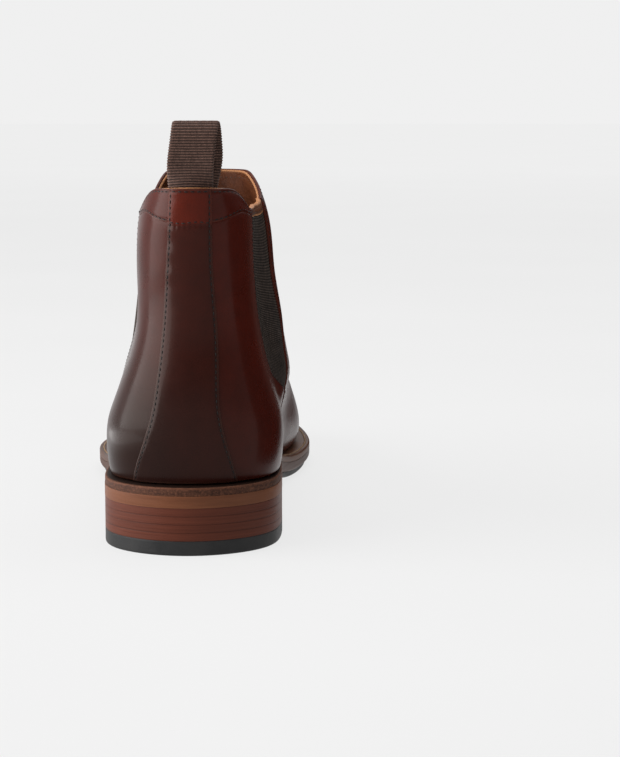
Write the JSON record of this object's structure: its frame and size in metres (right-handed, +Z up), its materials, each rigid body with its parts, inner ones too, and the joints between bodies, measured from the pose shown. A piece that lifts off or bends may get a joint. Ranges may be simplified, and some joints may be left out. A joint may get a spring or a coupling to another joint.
{
  "type": "chelsea boot",
  "caption": "Leather ankle boot with elastic side gores, a welted sole, a stacked heel and a webbing pull loop that swings at the back collar.",
  "frame": {"origin": "point on the ground face of the heel, under the ankle and midway between the heel's sides", "axes": "+Z up from the ground, +Y from heel to toe, +X to the inner side of a left foot"},
  "size_m": [0.1082, 0.3107, 0.1792],
  "materials": {
    "upper_leather": "polished dark oxblood brown calf",
    "strip_leather": "polished oxblood calf, redder than the panels",
    "lining_leather": "matt tan lining leather",
    "elastic": "ribbed elastic, near-black brown",
    "webbing": "ribbed dark brown webbing",
    "welt_leather": "waxed brown welt",
    "sole_leather": "stained sole leather with a fibrous edge",
    "rand_leather": "brown edge dressing over open fibres",
    "heel_leather": "red-brown stacked leather, waxed",
    "rubber": "black rubber",
    "cork": "granulated cork",
    "stiffener_board": "leatherboard",
    "steel": "spring steel",
    "brass": "plain"
  },
  "bodies": {
    "boot": {"back_strip": "strip_leather", "collar_band": "upper_leather", "cork_filler": "cork", "forepart_sole": "rubber", "front_lining": "lining_leather", "gore_binding_lateral": "lining_leather", "gore_binding_medial": "lining_leather", "gore_lateral": "elastic", "gore_medial": "elastic", "heel_counter": "stiffener_board", "heel_lift_1": "heel_leather", "heel_lift_2": "heel_leather", "heel_lift_3": "heel_leather", "heel_lift_4": "heel_leather", "heel_nail_1": "brass", "heel_nail_2": "brass", "heel_nail_3": "brass", "heel_nail_4": "brass", "heel_nail_5": "brass", "heel_rand": "rand_leather", "heel_top_piece": "rubber", "insole": "stiffener_board", "loop_end_front": "webbing", "loop_end_rear": "webbing", "outsole": "sole_leather", "quarter_lateral": "upper_leather", "quarter_lining": "lining_leather", "quarter_medial": "upper_leather", "shank": "steel", "sock_liner": "lining_leather", "toe_puff": "stiffener_board", "vamp": "upper_leather", "welt": "welt_leather"},
    "pull_loop": {"pull_loop": "webbing"}
  },
  "joints": [
    {"name": "pull_loop_swing", "type": "hinge", "parent": "boot", "child": "pull_loop", "pos_m": [0, -0.0263, 0.1538], "axis": [1, 0, 0], "range_deg": [-56, 70], "stiffness_Nm_per_rad": 0.005}
  ]
}
